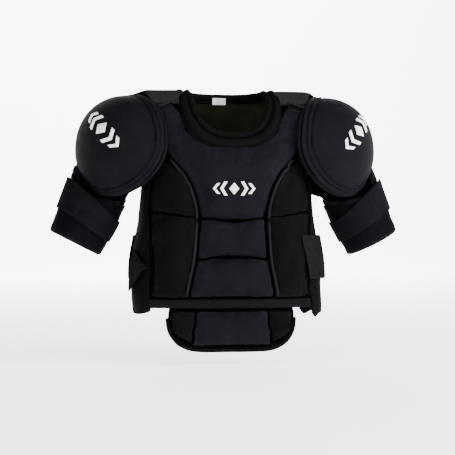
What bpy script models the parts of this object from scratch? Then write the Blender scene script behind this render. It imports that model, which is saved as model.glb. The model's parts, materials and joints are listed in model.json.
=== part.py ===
"""Hockey shoulder pads: a padded vest with hinged shoulder caps, upper-arm guards and a belly flap.

Metres, +Z up. The front faces -Y and the wearer's left side is +X. Z = 0 is the height of the
wearer's shoulders at the base of the neck. Names ending in _left and _right are the wearer's sides.
"""

import math

import bmesh
import bpy
from mathutils import Matrix, Vector

# ---- driving dimensions -------------------------------------------------------------------------
GAP = 0.0006            # clearance between pieces that touch
LIFT = 0.0018           # clearance between a flat-sided section and the curved cloth under it

# torso: a squared oval in plan, rounded over to a straight shoulder line at the top
SHOULDER_TOP = 0.022    # height of the shoulder line
ROUND_START = -0.160    # the chest starts to round towards the shoulder here
ROUND_POWER = 2.4
BACK_ROUND_POWER = 4.0
PLAN_POWER = 3.0
FRONT_DEPTH = 0.118     # chest depth ahead of the side seam
BACK_DEPTH = 0.106
HALF_WIDTH = (
    (-0.470, 0.208), (-0.380, 0.216), (-0.330, 0.211), (-0.260, 0.197), (-0.190, 0.188), (0.030, 0.188),
)
DEPTH_SHARE = ((-0.470, 0.92), (-0.360, 0.94), (-0.260, 0.98), (-0.180, 1.0), (0.030, 1.0))

# front panel and its sewn sections
PANEL_EDGE = 0.174      # half width of the front and back panels
HEM = -0.437            # lower edge of the panels, where the binding starts
CHANNEL = 0.0022        # half the sewn channel between two foam sections
CHANNEL_1 = -0.2620     # seam under the chest section
CHANNEL_2 = -0.3390     # seam between the two abdomen sections
CHANNEL_3 = -0.4270     # seam above the hem
COLUMN = ((-0.440, 0.0945), (-0.342, 0.0780), (-0.249, 0.0720), (-0.217, 0.0770), (-0.191, 0.0855),
          (-0.169, 0.0955), (-0.146, 0.1120), (-0.127, 0.1280), (-0.112, 0.1350), (0.030, 0.1340))
PANEL = (
    (-0.460, PANEL_EDGE), (-0.220, PANEL_EDGE), (-0.180, 0.168), (-0.120, 0.148), (-0.060, 0.139),
    (0.030, 0.138),
)
FABRIC = 0.0025         # thickness of the carrier cloth with its backing
LINING = 0.0015
FOAM = 0.0150           # thickness of the chest foam
SIDE_FOAM_EDGE = 0.0040

# neck
COLLAR_POWER = 2.6
NECK_LEAN = 1.8         # how the front of the collar leans forward as it drops
COLLAR_TOP = 0.0265     # height of the rolls' centres over the shoulders
COLLAR_BACK_TOP = 0.0225
NECK_CUT = 0.1145       # half width of the panels' neck opening, clear of the outer roll
ROLL_INNER = dict(half_width=0.0870, front=-0.0775, back=0.0720, ahead=0.1200, radius=0.0073)
ROLL_OUTER = dict(half_width=0.1040, front=-0.0945, back=0.0890, ahead=0.1265, radius=0.0083)
NECK_EDGE = dict(half_width=0.1180, front=-0.1085)

# shoulder caps: a superellipsoid bowl over each shoulder
CAP_CENTRE = Vector((0.2000, -0.0030, -0.1000))
CAP_SIZE = Vector((0.1350, 0.1340, 0.1170))
CAP_LOWER = 0.1320                   # the bowl is deeper below its centre
CAP_POWER = 2.3
CAP_LEAN = math.radians(22)          # the bowl's pole points this far above the horizontal
CAP_RIM = ((0, 52), (18, 70), (37, 89), (61, 105), (90, 111), (111, 104), (137, 88), (158, 74), (180, 67))
CAP_COVER = 0.0030
CAP_SHELL = 0.0025
CAP_LINER = 0.0070
CAP_BINDING_RADIUS = 0.0042
CAP_HINGE = Vector((0.1865, 0.0, 0.0230))

# upper-arm guards: C-shaped sleeves that hang from the caps
ARM_TILT = math.radians(27)
ARM_TOP = Vector((0.2765, -0.0020, -0.1965))   # centre of the guard's upper edge
ARM_LENGTH = 0.118
ARM_RADIUS_TOP = 0.0640
ARM_RADIUS_LOW = 0.0595
ARM_DEPTH_RATIO = 0.94
ARM_BULGE = 0.0160       # how far the guard flares outwards at its top
ARM_EDGE = ((0, -0.10), (14, -0.08), (32, 0.24), (58, 0.20), (92, 0.15), (170, -0.10), (180, -0.10))
ARM_HINGE_ALONG = -0.02
ARM_GAP_HALF = math.radians(26)      # half the opening on the inner rear side
ARM_COVER = 0.0030
ARM_SHELL = 0.0020
ARM_LINER = 0.0070

# belly flap
BELLY_TOP = -0.4545
BELLY_LOW = -0.5360
BELLY_HALF_WIDTH = 0.1350
BELLY_COLUMN = 0.0880
BELLY_FOAM_TOP = BELLY_TOP - 0.0045    # the foam stays clear of the hem when the flap swings out

# side straps
STRAP_TOP = -0.2920
STRAP_LOW = -0.3880
STRAP_THICK = 0.0020
STRAP_HINGE_ANGLE = math.radians(84)

# yokes
YOKE_REACH = 0.1840      # the mesh runs out over the cap's top edge
YOKE_EDGE = ((0.115, 36.0), (0.138, 34.0), (0.156, 18.0), (0.184, 12.0))    # half angle over the shoulder

SIDES = (("left", 1), ("right", -1))


# ---- scene helpers ------------------------------------------------------------------------------
def clear_scene():
    for obj in list(bpy.data.objects):
        bpy.data.objects.remove(obj, do_unlink=True)


def make_material(name, colour, roughness, metallic=0.0):
    material = bpy.data.materials.new(name)
    material.use_nodes = True
    shader = material.node_tree.nodes["Principled BSDF"]
    shader.inputs["Base Color"].default_value = (*colour, 1.0)
    shader.inputs["Roughness"].default_value = roughness
    shader.inputs["Metallic"].default_value = metallic
    return material


def materials():
    return {
        "shell_fabric": make_material("shell_fabric", (0.016, 0.016, 0.021), 0.62),
        "mesh": make_material("mesh", (0.060, 0.060, 0.065), 0.80),
        "lining": make_material("lining", (0.018, 0.019, 0.013), 0.85),
        "binding": make_material("binding", (0.020, 0.020, 0.024), 0.55),
        "strap": make_material("strap", (0.045, 0.045, 0.047), 0.75),
        "plastic": make_material("plastic", (0.030, 0.030, 0.032), 0.40),
        "foam": make_material("foam", (0.080, 0.080, 0.085), 0.90),
        "mark": make_material("mark", (0.800, 0.800, 0.800), 0.45),
        "label": make_material("label", (0.780, 0.780, 0.770), 0.60),
    }


class Kit:
    """The collection, the materials and the joint empties that the pieces are made with."""

    def __init__(self):
        self.collection = bpy.data.collections.new("hockey_shoulder_pads")
        bpy.context.scene.collection.children.link(self.collection)
        self.materials = materials()

    def empty(self, name, point, sign, parent=None):
        """Adds a joint's empty at a point given for the left side."""
        location = Vector((sign * point.x, point.y, point.z))
        empty = bpy.data.objects.new(name, None)
        self.collection.objects.link(empty)
        empty.parent = parent
        empty.location = location if parent is None else location - parent.matrix_world.translation
        bpy.context.view_layer.update()
        return empty

    def piece(self, name, mesh, material, pivot=None):
        """Adds a finished mesh, given in world coordinates, under its joint's empty."""
        obj = bpy.data.objects.new(name, mesh)
        mesh.materials.append(self.materials[material])
        mesh.shade_smooth()
        mesh.set_sharp_from_angle(angle=math.radians(40))
        self.collection.objects.link(obj)
        if pivot is not None:
            mesh.transform(Matrix.Translation(-pivot.matrix_world.translation))
            obj.parent = pivot
        return obj

    def tube(self, name, path, radius, segments, material, pivot=None, closed=True):
        """Adds a round tube along path(u), u = 0..1, as a beveled curve."""
        curve = bpy.data.curves.new(name, "CURVE")
        curve.dimensions = "3D"
        curve.bevel_depth = radius
        curve.bevel_resolution = 2
        curve.use_fill_caps = True
        curve.materials.append(self.materials[material])
        spline = curve.splines.new("POLY")
        spline.points.add(segments - 1 if closed else segments)
        spline.use_cyclic_u = closed
        origin = Vector() if pivot is None else pivot.matrix_world.translation
        for i, point in enumerate(spline.points):
            point.co = (*(path(i / segments) - origin), 1.0)
        obj = bpy.data.objects.new(name, curve)
        obj.parent = pivot
        self.collection.objects.link(obj)
        return obj


def closed_mesh(name, bm):
    """The finished mesh of a closed body, with its faces pointing out."""
    bmesh.ops.recalc_face_normals(bm, faces=list(bm.faces))
    if bm.calc_volume(signed=True) < 0.0:
        bmesh.ops.reverse_faces(bm, faces=list(bm.faces))
    mesh = bpy.data.meshes.new(name)
    bm.to_mesh(mesh)
    bm.free()
    return mesh


def slab(name, columns, rows, place):
    """A closed slab: a grid extruded once, each vertex moved to place(s, t, h).

    s runs -1..1 across, t runs 0..1 upwards, and h is 0 on the inner face and 1 on the outer.
    """
    bm = bmesh.new()
    bmesh.ops.create_grid(bm, x_segments=columns, y_segments=rows, size=1.0)
    made = bmesh.ops.extrude_face_region(bm, geom=list(bm.faces))
    for item in made["geom"]:
        if isinstance(item, bmesh.types.BMVert):
            item.co.z = 1.0
    for vert in bm.verts:
        vert.co = place(vert.co.x, (vert.co.y + 1.0) / 2.0, vert.co.z)
    return closed_mesh(name, bm)


# ---- the torso surface --------------------------------------------------------------------------
def slope(keys, i):
    """The slope of a smooth curve at key i, level at both ends."""
    if i in (0, len(keys) - 1):
        return 0.0
    (a, low), (b, high) = keys[i - 1], keys[i + 1]
    return (high - low) / (b - a)


def smooth_keys(value, keys):
    """A smooth curve through (position, amount) keys."""
    value = min(max(value, keys[0][0]), keys[-1][0])
    i = max(k for k in range(len(keys) - 1) if keys[k][0] <= value)
    (a, low), (b, high) = keys[i], keys[i + 1]
    u = (value - a) / (b - a)
    rise = (b - a) * (u * (1 - u) ** 2 * slope(keys, i) - u * u * (1 - u) * slope(keys, i + 1))
    return low + (high - low) * u * u * (3 - 2 * u) + rise


def blend(a, b, share):
    return a + (b - a) * share


def half_width(z):
    return smooth_keys(z, HALF_WIDTH)


def depth(z, side):
    """How far the surface stands from the side seam plane: side -1 is the front, +1 the back."""
    full = (FRONT_DEPTH if side < 0 else BACK_DEPTH) * smooth_keys(z, DEPTH_SHARE)
    if z <= ROUND_START:
        return full
    rise = min((z - ROUND_START) / (SHOULDER_TOP - ROUND_START), 1.0)
    power = ROUND_POWER if side < 0 else BACK_ROUND_POWER
    return full * (1.0 - rise**power) ** (1.0 / power)


def surface(x, z, side, out=0.0):
    """The point of the front or back surface over (x, z), pushed out along its normal."""
    step = 0.001

    def raw(px, pz):
        share = min(abs(px) / half_width(pz), 0.999)
        return Vector((px, side * depth(pz, side) * (1.0 - share**PLAN_POWER) ** (1.0 / PLAN_POWER), pz))

    point = raw(x, z)
    if out == 0.0:
        return point
    in_x = raw(x + step, z) - raw(x - step, z)
    in_z = raw(x, min(z + step, SHOULDER_TOP)) - raw(x, z - step)
    normal = in_x.cross(in_z).normalized()
    if normal.y * side < 0.0:
        normal.negate()
    return point + normal * out


def around(angle, z, out=0.0):
    """The point at an angle round the torso, 0 at the front and 90 degrees at the left seam."""
    across = math.sin(angle)
    ahead = -math.cos(angle)
    side = -1 if ahead < 0 else 1
    wide = half_width(z) + out
    deep = depth(z, side) + out
    scale = (abs(across) ** PLAN_POWER + abs(ahead) ** PLAN_POWER) ** (-1.0 / PLAN_POWER)
    return Vector((wide * across * scale, deep * ahead * scale, z))


def over_shoulder(x, angle, out=0.0):
    """The point over the shoulder at x: angle 0 is the shoulder line, negative is towards the front.

    Outside the panels it keeps the curve of the panels' edge.
    """
    side = -1 if angle < 0 else 1
    rise = math.cos(angle)
    run = abs(math.sin(angle))
    power = ROUND_POWER if side < 0 else BACK_ROUND_POWER
    scale = (rise**power + run**power) ** (-1.0 / power)
    full = FRONT_DEPTH if side < 0 else BACK_DEPTH
    share = min(abs(x), 0.1400) / half_width(0.0)
    plan = (1.0 - share**PLAN_POWER) ** (1.0 / PLAN_POWER)
    y = side * run * scale * (full * plan + out)
    z = ROUND_START + rise * scale * (SHOULDER_TOP - ROUND_START + out)
    return Vector((x, y, z))


def neck_drop(x, half_span, front, top=COLLAR_TOP):
    """Height of a neck curve of the given half span at x, from its top down to its front."""
    share = min(abs(x) / half_span, 1.0)
    return top + (front - top) * (1.0 - share**COLLAR_POWER) ** (1.0 / COLLAR_POWER)


def edge_fade(s, t, share=0.12):
    """1 inside a section and 0 on its edge, for the crown of a foam section."""
    inside = min(1.0 - abs(s), 2.0 * t, 2.0 * (1.0 - t))
    return min(inside / share, 1.0)


# ---- front --------------------------------------------------------------------------------------
def panel_edge(z):
    """Half width of the panels: they narrow above the armpit to make room for the arm."""
    return smooth_keys(z, PANEL)


def panel_top(x, side):
    """Upper edge of the front or back panel: the neck curve, then the shoulder line."""
    if side < 0:
        neck = neck_drop(x, NECK_CUT, ROLL_OUTER["front"], SHOULDER_TOP - 0.002)
    else:
        neck = neck_drop(x, NECK_CUT, COLLAR_BACK_TOP - 0.0105, SHOULDER_TOP - 0.002)
    return min(neck, SHOULDER_TOP - 0.002)


def make_panel(kit, name, side, inner, thickness, material):
    def place(s, t, h):
        z = blend(HEM, panel_top(s * 0.138, side), t)
        return surface(s * panel_edge(z), z, side, inner + thickness * h)

    kit.piece(name, slab(name, 14, 9, place), material)


def make_section(kit, name, side, edges, foam, columns=8, rows=8, pivot=None, material="shell_fabric"):
    """A foam section between edges(s, t) = (x, z), crowned towards its middle."""

    def place(s, t, h):
        x, z = edges(s, t)
        height = foam(x) * (0.55 + 0.45 * edge_fade(s, t))
        return surface(x, z, side, LIFT + height * h)

    kit.piece(name, slab(name, columns, rows, place), material, pivot)


def full_foam(x):
    return FOAM


def side_foam(x):
    """The side sections thin out towards the panel's edge, under the side strap."""
    share = (abs(x) - 0.110) / (PANEL_EDGE - 0.110)
    return blend(FOAM, SIDE_FOAM_EDGE, min(max(share, 0.0), 1.0))


def column(z):
    return smooth_keys(z, COLUMN)


def seam_1(x):
    """The seam under the chest dips at the middle and rises along the wings."""
    return CHANNEL_1 + 0.007 * min(abs(x) / 0.072, 1.0) + 0.013 * max(abs(x) - 0.072, 0.0) / 0.100


def seam_2(x):
    return CHANNEL_2 - 0.006 * (abs(x) / 0.078) ** 2


def make_front_sections(kit):
    def chest(s, t):
        neck = neck_drop(s * 0.134, NECK_EDGE["half_width"], NECK_EDGE["front"], -0.010)
        z = blend(seam_1(s * 0.072) + CHANNEL, neck, t)
        return s * (column(z) - CHANNEL), z

    def between(low, high):
        def edges(s, t):
            z = blend(low(s * 0.078) + CHANNEL, high(s * 0.078) - CHANNEL, t)
            return s * (column(z) - CHANNEL), z

        return edges

    def floor_seam(x):
        return CHANNEL_3

    make_section(kit, "chest_pad", -1, chest, full_foam, 16, 10)
    make_section(kit, "mid_abdomen_pad", -1, between(seam_2, seam_1), full_foam)
    make_section(kit, "lower_abdomen_pad", -1, between(floor_seam, seam_2), full_foam)
    for side_name, sign in SIDES:

        def upper(s, t, sign=sign):
            share = (s + 1.0) / 2.0
            low = seam_1(blend(0.072, PANEL_EDGE, share)) + CHANNEL
            z = blend(low, blend(-0.150, -0.128, share), t)
            return sign * blend(column(z) + CHANNEL, panel_edge(z) - 0.003, share), z

        def lower(s, t, sign=sign):
            share = (s + 1.0) / 2.0
            z = blend(CHANNEL_3 + CHANNEL, seam_1(blend(0.072, PANEL_EDGE, share)) - CHANNEL, t)
            return sign * blend(column(z) + CHANNEL, PANEL_EDGE - 0.003, share), z

        make_section(kit, f"upper_side_pad_{side_name}", -1, upper, side_foam, 6, 7)
        make_section(kit, f"lower_side_pad_{side_name}", -1, lower, side_foam, 6, 9)


# ---- back ---------------------------------------------------------------------------------------
def make_back_sections(kit):
    spine_half = 0.034

    def spine(s, t):
        z = blend(-0.425, -0.030, t)
        return s * (spine_half + 0.012 * t), z

    make_section(kit, "spine_pad", 1, spine, full_foam, 6, 10)
    for side_name, sign in SIDES:

        def blade(s, t, sign=sign):
            share = (s + 1.0) / 2.0
            z = blend(blend(-0.235, -0.215, share), -0.030, t)
            inner = spine_half + 0.012 * (z + 0.425) / 0.395 + 2 * CHANNEL
            return sign * blend(inner, min(panel_edge(z), 0.142) - 0.004, share), z

        def kidney(s, t, sign=sign):
            share = (s + 1.0) / 2.0
            z = blend(-0.425, blend(-0.235, -0.215, share) - 2 * CHANNEL, t)
            inner = spine_half + 0.012 * (z + 0.425) / 0.395 + 2 * CHANNEL
            return sign * blend(inner, 0.152, share), z

        make_section(kit, f"shoulder_blade_pad_{side_name}", 1, blade, full_foam, 6, 7)
        make_section(kit, f"lower_back_pad_{side_name}", 1, kidney, full_foam, 6, 7)


def make_hems(kit):
    for name, side in (("front_hem_binding", -1), ("back_hem_binding", 1)):

        def place(s, t, h, side=side):
            z = HEM - GAP - 0.012 * (1.0 - t)
            bulge = 0.0015 * (1.0 - (2.0 * t - 1.0) ** 2)
            out = blend(-0.0045, 0.0045, h) + (2.0 * h - 1.0) * bulge
            return surface(s * PANEL_EDGE, z, side, out)

        kit.piece(name, slab(name, 20, 3, place), "binding")


def make_side_panels(kit):
    """The stretch panels under the arms, between the front and back panels."""
    for side_name, sign in SIDES:

        def place(s, t, h, sign=sign):
            z = blend(-0.456, -0.192 - 0.010 * abs(s), t)
            edge = min(panel_edge(z) / half_width(z), 0.98)
            start = math.atan2(edge, (1.0 - edge**PLAN_POWER) ** (1.0 / PLAN_POWER)) + math.radians(0.9)
            angle = blend(start, math.pi - start, (s + 1.0) / 2.0)
            point = around(angle, z, blend(-0.0030, -GAP, h))
            return Vector((sign * point.x, point.y, z))

        name = f"side_panel_{side_name}"
        kit.piece(name, slab(name, 7, 6, place), "shell_fabric")


# ---- neck and shoulders -------------------------------------------------------------------------
def neck_path(roll):
    """The closed centre line of a collar roll, clockwise from the wearer's left shoulder."""

    def path(u):
        turn = 2.0 * math.pi * u
        across = math.cos(turn)
        along = math.sin(turn)
        scale = (abs(across) ** COLLAR_POWER + abs(along) ** COLLAR_POWER) ** (-1.0 / COLLAR_POWER)
        x = roll["half_width"] * across * scale
        drop = abs(along) * scale
        if along < 0.0:
            ahead = (1.0 - (1.0 - drop) ** NECK_LEAN) ** (1.0 / NECK_LEAN)
            return Vector((x, -roll["ahead"] * ahead, blend(COLLAR_TOP, roll["front"], drop)))
        return Vector((x, roll["back"] * drop, blend(COLLAR_TOP, COLLAR_BACK_TOP, drop)))

    return path


def make_collar(kit):
    for name, roll in (("collar_inner_roll", ROLL_INNER), ("collar_outer_roll", ROLL_OUTER)):
        kit.tube(name, neck_path(roll), roll["radius"], 36, "binding")


def make_neck_label(kit):
    """A small woven label sewn inside the back of the neck."""
    half = 0.0150
    face = ROLL_INNER["back"] - ROLL_INNER["radius"] - 2 * GAP

    def place(s, t, h):
        return Vector((-0.007 + half * s, face - 0.0012 * (1.0 - h), blend(0.0060, 0.0215, t)))

    kit.piece("neck_label", slab("neck_label", 3, 2, place), "label")


def make_yokes(kit):
    """Air-mesh strips over the shoulders, and the foam rests under them."""
    for side_name, sign in SIDES:

        def yoke(s, t, h, sign=sign):
            share = (s + 1.0) / 2.0
            x = blend(0.1150, YOKE_REACH, share)
            narrow = smooth_keys(x, YOKE_EDGE)
            angle = math.radians(blend(-narrow, narrow + 4.0, t))
            point = over_shoulder(x, angle, 0.0015 + 0.0035 * h)
            return Vector((sign * point.x, point.y, point.z))

        def rest(s, t, h, sign=sign):
            x = blend(0.1150, 0.1370, (s + 1.0) / 2.0)
            y = blend(-0.022, 0.022, t)
            return Vector((sign * x, y, blend(0.0, 0.0090, h)))

        name = f"shoulder_yoke_{side_name}"
        kit.piece(name, slab(name, 6, 10, yoke), "mesh")
        name = f"shoulder_rest_{side_name}"
        kit.piece(name, slab(name, 2, 3, rest), "foam")


# ---- shoulder caps ------------------------------------------------------------------------------
def cap_rim(turn):
    """Polar reach of the cap's edge: turn 0 points down and out, 90 to the front, 180 to the top."""
    from_low = abs(math.degrees(math.atan2(math.sin(turn), math.cos(turn))))
    return math.radians(smooth_keys(from_low, CAP_RIM))


def cap_point(turn, reach, out):
    """A point of the cap's bowl, seen from its centre: reach is the angle from the bowl's pole."""
    pole = Vector((math.cos(CAP_LEAN), 0.0, math.sin(CAP_LEAN)))
    down = Vector((math.sin(CAP_LEAN), 0.0, -math.cos(CAP_LEAN)))
    front = Vector((0.0, -1.0, 0.0))
    ray = math.cos(reach) * pole + math.sin(reach) * (math.cos(turn) * down + math.sin(turn) * front)
    size = [axis + out for axis in (CAP_SIZE.x, CAP_SIZE.y, CAP_SIZE.z if ray.z > 0.0 else CAP_LOWER)]
    total = sum((abs(part) / axis) ** CAP_POWER for part, axis in zip(ray, size))
    return CAP_CENTRE + ray * total ** (-1.0 / CAP_POWER)


def cap_layer(outer, thickness):
    """A bowl-shaped layer: its outer face is `outer` below the cap's surface."""

    def place(s, t, h):
        v = 2.0 * t - 1.0
        across = s * math.sqrt(1.0 - v * v / 2.0)
        along = v * math.sqrt(1.0 - s * s / 2.0)
        share = min(math.hypot(across, along), 1.0)
        turn = math.atan2(across, -along)
        reach = share * cap_rim(turn)
        return cap_point(turn, reach, -outer - thickness * (1.0 - h))

    return place


def mirrored(place, sign):
    def turned(s, t, h):
        point = place(s, t, h)
        return Vector((sign * point.x, point.y, point.z))

    return turned


def make_cap(kit, side_name, sign, pivot):
    layers = (
        ("cap_cover", 0.0, CAP_COVER, "shell_fabric"),
        ("cap_shell", CAP_COVER + GAP, CAP_SHELL, "plastic"),
        ("cap_liner", CAP_COVER + CAP_SHELL + 2 * GAP, CAP_LINER, "foam"),
    )
    for stem, outer, thickness, material in layers:
        name = f"{stem}_{side_name}"
        place = mirrored(cap_layer(outer, thickness), sign)
        kit.piece(name, slab(name, 10, 10, place), material, pivot)

    def rim(u):
        turn = 2.0 * math.pi * u
        reach = cap_rim(turn) + 0.067
        point = cap_point(turn, reach, -0.0055)
        return Vector((sign * point.x, point.y, point.z))

    name = f"cap_binding_{side_name}"
    kit.tube(name, rim, CAP_BINDING_RADIUS, 32, "binding", pivot)

    def badge(s, t, h):
        v = 2.0 * t - 1.0
        turn = math.radians(91)
        centre = math.radians(49)
        tilt = math.radians(42)
        along = 0.44 * (s * math.cos(tilt) - 0.36 * v * math.sin(tilt))
        across = 0.44 * (s * math.sin(tilt) + 0.36 * v * math.cos(tilt))
        east = centre * math.sin(turn) + along
        north = centre * -math.cos(turn) - across
        point = cap_point(math.atan2(east, -north), math.hypot(east, north), GAP + 0.0012 * h)
        return Vector((sign * point.x, point.y, point.z))

    name = f"cap_badge_{side_name}"
    kit.piece(name, slab(name, 8, 4, badge), "mark", pivot)


# ---- upper-arm guards ---------------------------------------------------------------------------
ARM_AXIS = Vector((math.sin(ARM_TILT), 0.0, -math.cos(ARM_TILT)))
ARM_OUT = Vector((math.cos(ARM_TILT), 0.0, math.sin(ARM_TILT)))
ARM_GAP_TURN = math.radians(215)     # the opening faces inwards and to the rear


def arm_point(turn, along, inset):
    """A point of the guard: turn 0 faces outwards and 90 degrees faces the front."""
    flare = ARM_BULGE * (1.0 - 0.65 * along) * max(math.cos(turn), 0.0) ** 2
    radius = blend(ARM_RADIUS_TOP, ARM_RADIUS_LOW, along) + flare - inset
    centre = ARM_TOP + ARM_AXIS * (ARM_LENGTH * along)
    y = -radius * ARM_DEPTH_RATIO * math.sin(turn)
    return centre + ARM_OUT * (radius * math.cos(turn)) + Vector((0.0, y, 0.0))


def arm_top(turn):
    """Where the guard's upper edge lies at a turn, as a share of its length.

    It stands outside the cap's rim at the outer side, dips under the rim, and rises inside the cap.
    """
    return smooth_keys(abs(math.degrees(math.atan2(math.sin(turn), math.cos(turn)))), ARM_EDGE)


def arm_layer(outer, thickness, turns, span):
    def place(s, t, h):
        turn = blend(turns[0], turns[1], (s + 1.0) / 2.0)
        along = blend(span[1], span[0] + arm_top(turn), t)
        return arm_point(turn, along, outer + thickness * (1.0 - h))

    return place


def make_arm(kit, side_name, sign, pivot):
    opening = ARM_GAP_TURN - 2.0 * math.pi
    full = (opening + ARM_GAP_HALF, ARM_GAP_TURN - ARM_GAP_HALF)
    column = (full[1] - full[0]) / 20
    outer_half = (full[0] + 3 * column, full[0] + 15 * column)
    under_shell = ARM_COVER + ARM_SHELL + 2 * GAP
    layers = (
        ("arm_cover", 0.0, ARM_COVER, full, (0.0, 1.0), 20, "shell_fabric"),
        ("arm_shell", ARM_COVER + GAP, ARM_SHELL, outer_half, (0.08, 0.92), 12, "plastic"),
        ("arm_liner", under_shell, ARM_LINER, full, (0.02, 0.98), 20, "foam"),
    )
    for stem, outer, thickness, turns, span, count, material in layers:
        name = f"{stem}_{side_name}"
        place = mirrored(arm_layer(outer, thickness, turns, span), sign)
        kit.piece(name, slab(name, count, 3, place), material, pivot)

    def edge(u):
        point = arm_point(blend(full[0], full[1], u), 1.0 + 0.0045 / ARM_LENGTH, 0.0050)
        return Vector((sign * point.x, point.y, point.z))

    name = f"arm_binding_{side_name}"
    kit.tube(name, edge, 0.0040, 24, "binding", pivot, closed=False)


def make_arm_hanger(kit, side_name, sign, pivot):
    """The webbing tab from the guard's upper edge up into the cap."""

    def place(s, t, h):
        turn = math.radians(24.0 * s)
        along = blend(0.42, 0.0, t)
        inset = ARM_COVER + ARM_SHELL + ARM_LINER + 0.0025 + blend(0.0, 0.050, t)
        return arm_point(turn, along, inset + 0.0018 * (1.0 - h))

    name = f"arm_hanger_{side_name}"
    kit.piece(name, slab(name, 4, 3, mirrored(place, sign)), "strap", pivot)


def make_arm_strap(kit, side_name, sign, pivot):
    """The elastic strap round the guard; its free end closes over the front."""

    def band(s, t, h):
        turn = math.radians(blend(62.0, 186.0, (s + 1.0) / 2.0))
        along = blend(0.80, 0.38, t)
        return arm_point(turn, along, -GAP - 0.0022 * h)

    name = f"arm_strap_{side_name}"
    kit.piece(name, slab(name, 12, 2, mirrored(band, sign)), "strap", pivot)


# ---- belly flap ---------------------------------------------------------------------------------
def belly_half(z):
    """Half width of the flap: straight at the top, with round lower corners."""
    share = min(max((BELLY_TOP - 0.018 - z) / (BELLY_TOP - 0.018 - BELLY_LOW), 0.0), 1.0)
    return blend(0.062, BELLY_HALF_WIDTH, (1.0 - share**2.3) ** (1.0 / 2.3))


def belly_surface(x, z, out):
    point = surface(x, HEM, -1, out)
    return Vector((point.x, point.y, z))


def make_belly(kit, pivot):
    def carrier(s, t, h):
        z = blend(BELLY_LOW, BELLY_TOP, t)
        return belly_surface(s * belly_half(z), z, blend(-0.0030, -0.0005, h))

    kit.piece("belly_carrier", slab("belly_carrier", 12, 6, carrier), "shell_fabric", pivot)

    def column_half(z):
        return blend(0.100, BELLY_COLUMN, (z - BELLY_LOW) / (BELLY_TOP - BELLY_LOW)) - 0.012

    def middle(s, t, h):
        z = blend(BELLY_LOW + 0.010, BELLY_FOAM_TOP, t)
        height = 0.0120 * (0.55 + 0.45 * edge_fade(s, t))
        return belly_surface(s * (column_half(z) - CHANNEL), z, height * h)

    kit.piece("belly_centre_pad", slab("belly_centre_pad", 8, 6, middle), "shell_fabric", pivot)
    for side_name, sign in SIDES:

        def wing(s, t, h, sign=sign):
            share = (s + 1.0) / 2.0
            z = blend(blend(BELLY_LOW + 0.010, BELLY_LOW + 0.030, share), BELLY_FOAM_TOP, t)
            height = 0.0110 * (0.55 + 0.45 * edge_fade(s, t))
            x = sign * blend(column_half(z) + CHANNEL, belly_half(z) - 0.006, share)
            return belly_surface(x, z, height * h)

        name = f"belly_side_pad_{side_name}"
        kit.piece(name, slab(name, 4, 6, wing), "shell_fabric", pivot)

    kit.tube("belly_binding", belly_edge, 0.0038, 32, "binding", pivot, closed=False)


def belly_edge(u):
    """The flap's outline from one upper corner round to the other, a little outside its cloth."""
    limit = 0.992
    share = abs(2.0 * u - 1.0)
    sign = 1.0 if u > 0.5 else -1.0
    flat = 0.30
    if share < flat:
        x = sign * 0.062 * share / flat
        return belly_surface(x, BELLY_LOW - 0.0046, -0.0015)
    turn = (share - flat) / (1.0 - flat) * math.radians(90.0)
    corner = 0.0046
    z_mid = BELLY_TOP - 0.018
    down = math.cos(turn) ** (2.0 / 2.3)
    across = math.sin(turn) ** (2.0 / 2.3)
    z = z_mid - (z_mid - BELLY_LOW + corner) * down
    x = blend(0.062, BELLY_HALF_WIDTH + corner, across * limit)
    return belly_surface(sign * x, z, -0.0015)


# ---- side straps --------------------------------------------------------------------------------
def make_side_strap(kit, side_name, sign, pivot):
    """Elastic straps from the back panel round to the front, where they hook on."""
    front_top = math.radians(38.5)
    front_low = math.radians(42)

    def forward(s, t, h):
        start = blend(front_low, front_top, t)
        angle = blend(start, STRAP_HINGE_ANGLE, (s + 1.0) / 2.0)
        z = blend(STRAP_LOW, STRAP_TOP, t)
        lift = 0.0020 + 0.0115 * (1.0 - (s + 1.0) / 2.0)
        return around(angle, z, lift + STRAP_THICK * h)

    name = f"side_strap_{side_name}"
    kit.piece(name, slab(name, 6, 3, mirrored(forward, sign)), "strap", pivot)

    def rear(s, t, h):
        angle = blend(STRAP_HINGE_ANGLE + math.radians(2.6), math.radians(128), (s + 1.0) / 2.0)
        z = blend(STRAP_LOW, STRAP_TOP, t)
        return around(angle, z, 0.0020 + STRAP_THICK * h)

    name = f"side_strap_anchor_{side_name}"
    kit.piece(name, slab(name, 6, 3, mirrored(rear, sign)), "strap")


def make_chest_badge(kit):
    """A thin printed emblem at the middle of the chest."""

    def place(s, t, h):
        x = 0.045 * s
        z = blend(-0.2070, -0.1770, t)
        return surface(x, z, -1, FOAM + LIFT + 2 * GAP + 0.0012 * h)

    kit.piece("chest_badge", slab("chest_badge", 8, 3, place), "mark")


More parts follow.
